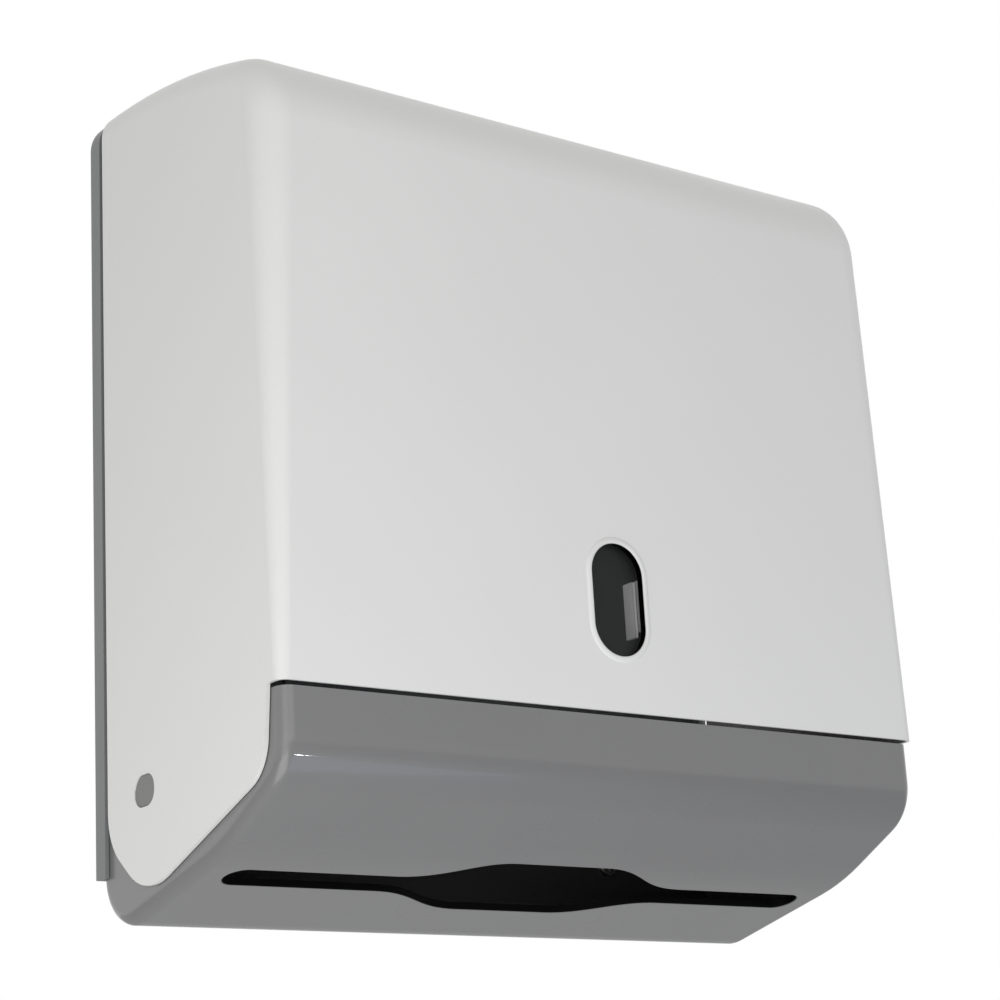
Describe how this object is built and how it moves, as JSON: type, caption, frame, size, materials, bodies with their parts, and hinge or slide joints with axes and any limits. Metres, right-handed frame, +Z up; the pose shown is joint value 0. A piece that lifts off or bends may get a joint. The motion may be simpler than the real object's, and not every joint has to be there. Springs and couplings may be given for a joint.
{
  "type": "folded paper towel dispenser",
  "caption": "Wall-hung dispenser for folded paper hand towels, with a hinged lockable cover, sight window and a towel slot underneath.",
  "frame": {"origin": "middle of the back plate's wall face", "axes": "+Z up, +Y into the wall, so the cover's front faces -Y; +X to the right as seen from the front"},
  "size_m": [0.27, 0.12, 0.2965],
  "materials": {
    "cover_white": "satin moulded plastic",
    "tray_grey": "satin moulded plastic",
    "plate_grey": "fine moulded texture",
    "pin_grey": "satin",
    "lens_clear": "clear polished plastic",
    "lock_chrome": "plated",
    "zinc_steel": "zinc plated"
  },
  "bodies": {
    "base": {"back_plate": "plate_grey", "tray": "tray_grey", "tray_screws": "zinc_steel", "keeper": "zinc_steel", "keeper_screws": "zinc_steel"},
    "cover": {"front_cover": "cover_white", "sight_lens": "lens_clear", "lock_barrel": "lock_chrome", "lock_nut": "zinc_steel", "hinge_pin_left": "pin_grey", "hinge_pin_right": "pin_grey", "pin_clip_left": "pin_grey", "pin_clip_right": "pin_grey"},
    "lock": {"lock_plug": "lock_chrome", "lock_cam": "zinc_steel", "cam_washer": "zinc_steel", "cam_screw": "zinc_steel"}
  },
  "joints": [
    {"name": "cover_hinge", "type": "hinge", "parent": "base", "child": "cover", "pos_m": [0, -0.0343, -0.1147], "axis": [1, 0, 0], "range_deg": [0, 50]},
    {"name": "lock_turn", "type": "hinge", "parent": "cover", "child": "lock", "pos_m": [0, -0.027, 0.13797], "axis": [0, 0.091, -0.9958], "range_deg": [0, 90]}
  ]
}
